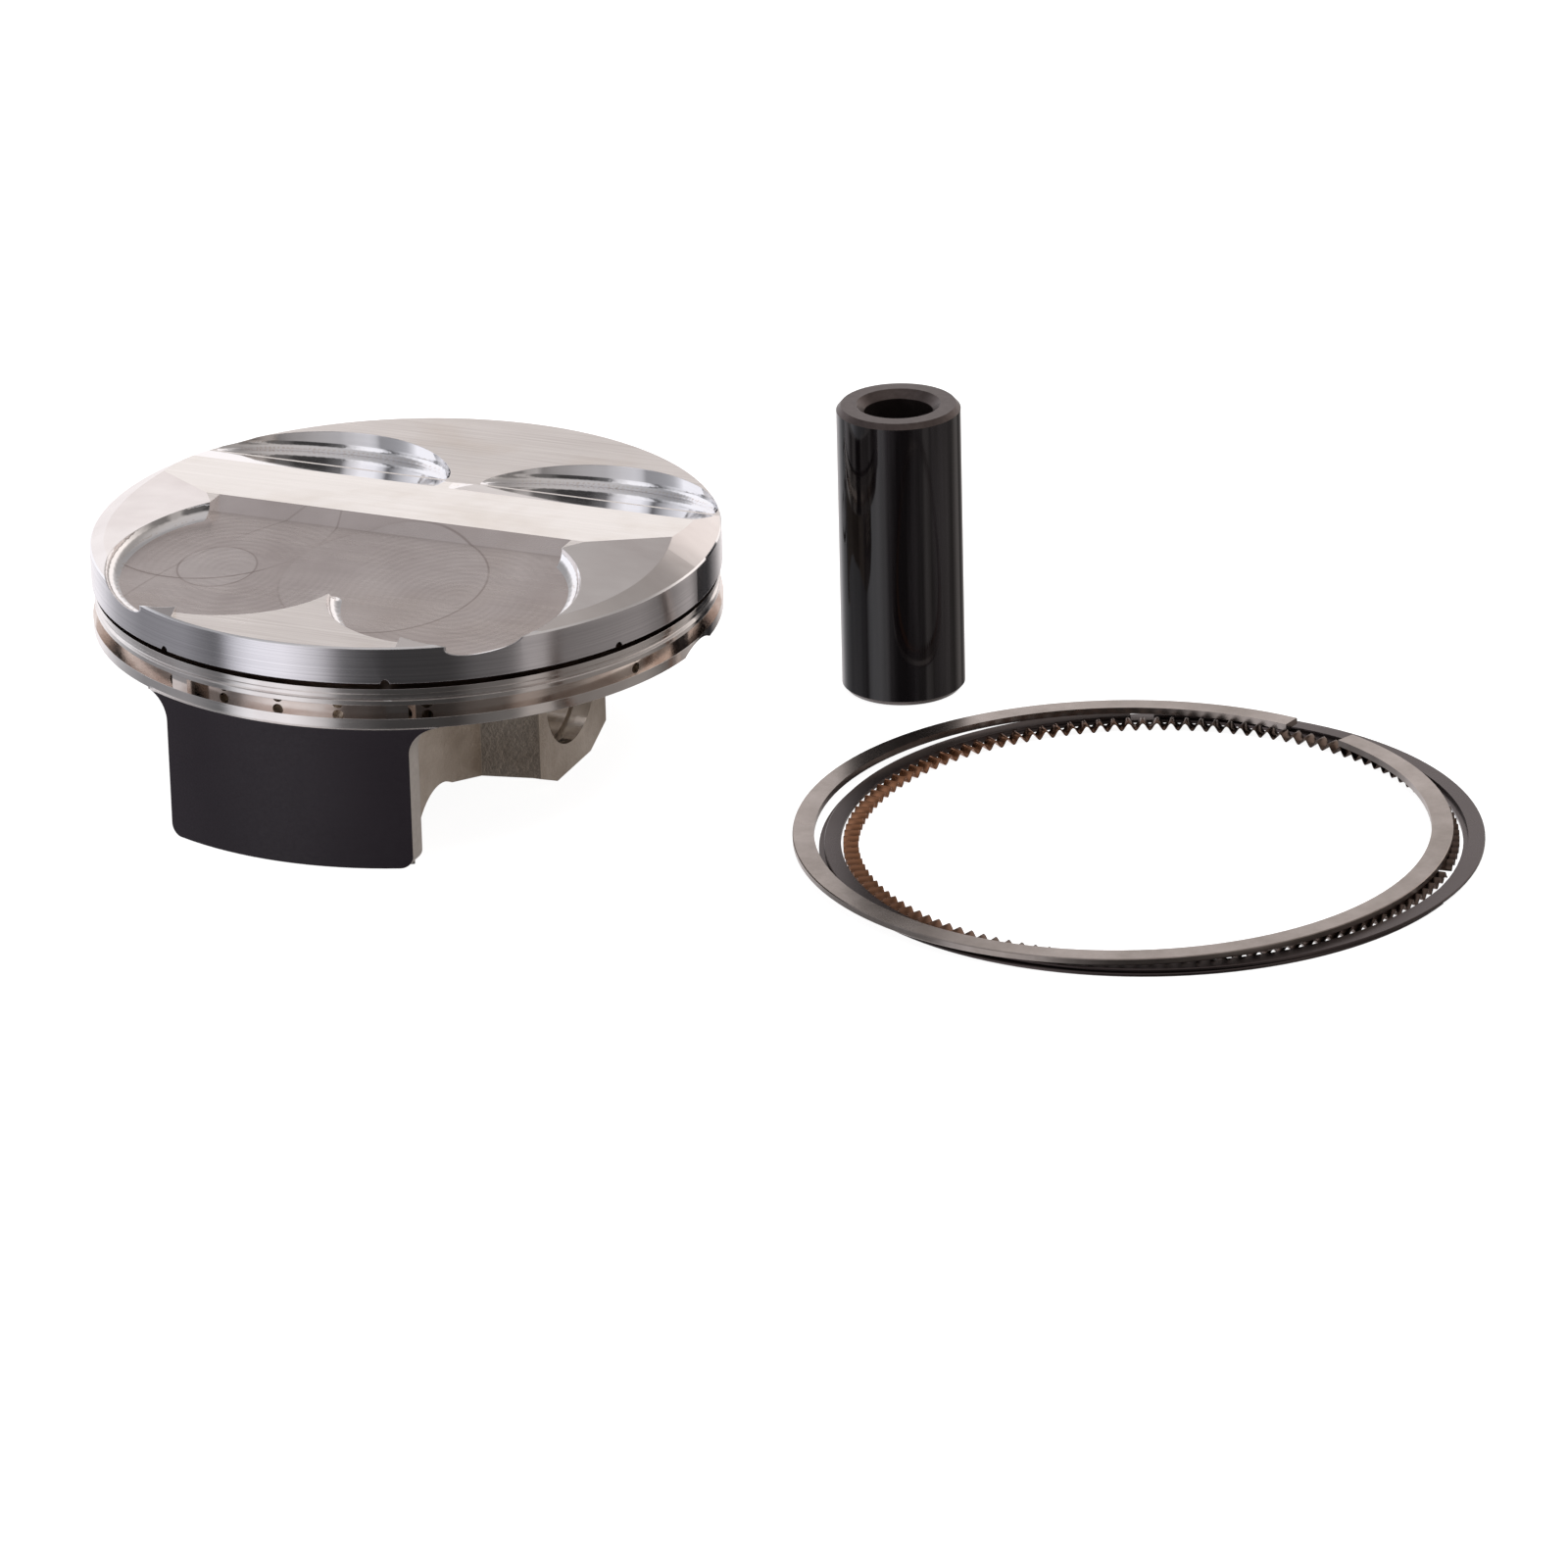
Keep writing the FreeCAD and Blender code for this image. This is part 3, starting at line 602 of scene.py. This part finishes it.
def add_world():
    """Studio room seen in the metal: bright low backdrop, darker overhead, strips of light at the front."""
    world = bpy.data.worlds.new("studio")
    bpy.context.scene.world = world
    world.use_nodes = True
    tree = world.node_tree
    tree.nodes.clear()

    def node(kind, **settings):
        made = tree.nodes.new(kind)
        for name, value in settings.items():
            setattr(made, name, value)
        return made

    def join(source, target):
        if isinstance(source, (int, float)):
            target.default_value = source
        else:
            tree.links.new(source, target)

    def calc(operation, a, b=0.0, c=0.0):
        made = node("ShaderNodeMath", operation=operation)
        for socket, value in zip(made.inputs, (a, b, c)):
            join(value, socket)
        return made.outputs[0]

    def curve(value, stops, low, high):
        made = node("ShaderNodeValToRGB")
        join(calc("DIVIDE", calc("SUBTRACT", value, low), high - low), made.inputs[0])
        fill_ramp(made.color_ramp, [((at - low) / (high - low), level) for at, level in stops])
        return made.outputs[0]

    def blend(factor, low, high):
        made = node("ShaderNodeMix", data_type="FLOAT", clamp_factor=True)
        join(factor, made.inputs[0])
        join(low, made.inputs[2])
        join(high, made.inputs[3])
        return made.outputs[0]

    split = node("ShaderNodeSeparateXYZ")
    join(node("ShaderNodeTexCoord").outputs["Generated"], split.inputs[0])
    x, y, z = split.outputs
    turn = math.radians(CAMERA_AZIMUTH)
    across = calc("ADD", calc("MULTIPLY", x, math.cos(turn)), calc("MULTIPLY", y, math.sin(turn)))
    away = calc("SUBTRACT", calc("MULTIPLY", y, math.cos(turn)), calc("MULTIPLY", x, math.sin(turn)))
    heading = calc("MULTIPLY", calc("ARCTAN2", across, calc("MULTIPLY", away, -1.0)), 180 / math.pi)
    below = curve(heading, ROOM_BELOW, -180, 180)
    front = blend(calc("MULTIPLY_ADD", z, 4.0, -2.2), below, OVERHEAD)
    above = blend(calc("MULTIPLY_ADD", away, 1.6, 0.5), front, curve(z, BACKDROP, 0, 1))
    level = blend(calc("MULTIPLY_ADD", z, 9.0, 0.5), below, above)
    tint = node("ShaderNodeMix", data_type="RGBA", clamp_factor=True)
    join(calc("MULTIPLY_ADD", across, 0.6, 0.5), tint.inputs[0])
    tint.inputs[6].default_value = (*COOL_SIDE, 1)
    tint.inputs[7].default_value = (*WARM_SIDE, 1)
    shade = node("ShaderNodeMix", data_type="RGBA", blend_type="MULTIPLY")
    shade.inputs[0].default_value = 1.0
    join(tint.outputs[2], shade.inputs[6])
    join(level, shade.inputs[7])
    background = node("ShaderNodeBackground")
    join(shade.outputs[2], background.inputs["Color"])
    background.inputs["Strength"].default_value = 1.0
    join(background.outputs[0], node("ShaderNodeOutputWorld").inputs["Surface"])


def add_softbox(name, position, target, width, height, power, colour=(1, 1, 1)):
    light = bpy.data.lights.new(name, "AREA")
    light.shape = "RECTANGLE"
    light.size = width
    light.size_y = height
    light.energy = power
    light.color = colour
    lamp = bpy.data.objects.new(name, light)
    lamp.location = position
    lamp.rotation_euler = (Vector(target) - Vector(position)).to_track_quat("-Z", "Y").to_euler()
    lamp.visible_glossy = False
    bpy.context.collection.objects.link(lamp)


CAMERA_AZIMUTH = 23.0
CAMERA_ELEVATION = 22.84
CAMERA_ROLL = -1.45
CAMERA_DISTANCE = 1471.6 * MM
CAMERA_AIM = Vector((59.15 * MM, 3.92 * MM, FLOOR_Z))
LENS = 225.0


def add_camera():
    azimuth, elevation, roll = (math.radians(v) for v in (CAMERA_AZIMUTH, CAMERA_ELEVATION, CAMERA_ROLL))
    right = Vector((math.cos(azimuth), math.sin(azimuth), 0))
    away = Vector((-math.sin(azimuth), math.cos(azimuth), 0))
    forward = away * math.cos(elevation) - Vector((0, 0, 1)) * math.sin(elevation)
    up = away * math.sin(elevation) + Vector((0, 0, 1)) * math.cos(elevation)
    across = right * math.cos(roll) + up * math.sin(roll)
    upward = up * math.cos(roll) - right * math.sin(roll)
    data = bpy.data.cameras.new("camera")
    data.lens = LENS
    data.sensor_width = 36
    data.clip_start = 0.05
    data.clip_end = 50
    camera = bpy.data.objects.new("camera", data)
    turn = Matrix((across, upward, -forward)).transposed().to_4x4()
    camera.matrix_world = Matrix.Translation(CAMERA_AIM - forward * CAMERA_DISTANCE) @ turn
    bpy.context.collection.objects.link(camera)
    bpy.context.scene.camera = camera


add_floor()
add_world()
add_softbox("softbox_top", (0.1, 0.3, 1.0), (0.05, 0, 0), 1.2, 0.9, 14)
add_camera()
bpy.context.scene.view_settings.view_transform = "Standard"
